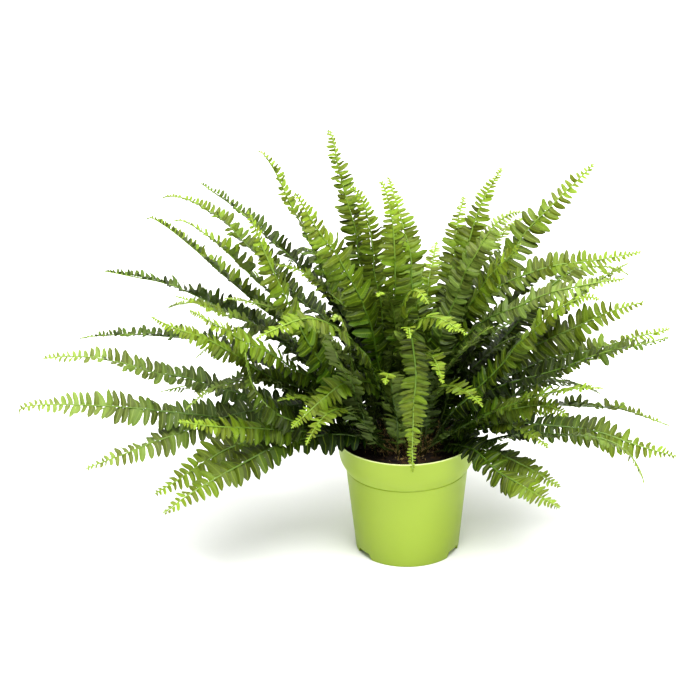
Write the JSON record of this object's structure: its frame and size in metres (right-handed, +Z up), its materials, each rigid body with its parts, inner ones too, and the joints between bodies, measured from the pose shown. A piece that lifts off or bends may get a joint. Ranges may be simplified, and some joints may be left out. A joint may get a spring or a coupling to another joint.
{
  "type": "potted fern",
  "caption": "Sword fern with arching fronds of paired leaflets, growing from a scaly crown in soil, in a lime-green plastic nursery pot with a flared rim band and a lobed foot.",
  "frame": {"origin": "centre of the pot's flat underside, on the pot's axis", "axes": "+Z up along the pot's axis, -Y towards the front of the plant, +X to the right as seen from the front, along the widest spread of the fronds"},
  "size_m": [0.5545, 0.3881, 0.3527],
  "materials": {
    "pot_plastic": "satin",
    "potting_mix": "matte",
    "rhizome": "matte",
    "leaf_young": "satin",
    "leaf_grown": "satin",
    "leaf_dark": "satin",
    "leaf_pale": "satin"
  },
  "bodies": {
    "root": {"pot": "pot_plastic", "soil": "potting_mix", "crown": "rhizome", "frond_01": "leaf_grown", "frond_02": "leaf_grown", "frond_03": "leaf_pale", "frond_04": "leaf_grown", "frond_05": "leaf_young", "frond_06": "leaf_pale", "frond_07": "leaf_dark", "frond_08": "leaf_young", "frond_09": "leaf_young", "frond_10": "leaf_young", "frond_11": "leaf_grown", "frond_12": "leaf_grown", "frond_13": "leaf_pale", "frond_14": "leaf_dark", "frond_15": "leaf_dark", "frond_16": "leaf_young", "frond_17": "leaf_grown", "frond_18": "leaf_pale", "frond_19": "leaf_young", "frond_20": "leaf_grown", "frond_21": "leaf_young", "frond_22": "leaf_dark", "frond_23": "leaf_grown", "frond_24": "leaf_young", "frond_25": "leaf_grown", "frond_26": "leaf_dark", "frond_27": "leaf_grown", "frond_28": "leaf_young", "frond_29": "leaf_pale", "frond_30": "leaf_grown", "frond_31": "leaf_dark", "frond_32": "leaf_grown", "frond_33": "leaf_grown", "frond_34": "leaf_grown", "frond_35": "leaf_grown", "frond_36": "leaf_grown", "frond_37": "leaf_grown", "frond_38": "leaf_grown", "frond_39": "leaf_young", "frond_40": "leaf_grown", "frond_41": "leaf_dark", "frond_42": "leaf_grown", "frond_43": "leaf_grown", "frond_44": "leaf_dark", "frond_45": "leaf_grown", "frond_46": "leaf_dark", "frond_47": "leaf_grown", "frond_48": "leaf_grown", "frond_49": "leaf_grown", "frond_50": "leaf_young", "frond_51": "leaf_young", "frond_52": "leaf_pale", "frond_53": "leaf_pale", "frond_54": "leaf_grown", "frond_55": "leaf_pale", "frond_56": "leaf_grown", "frond_57": "leaf_pale"}
  },
  "joints": []
}
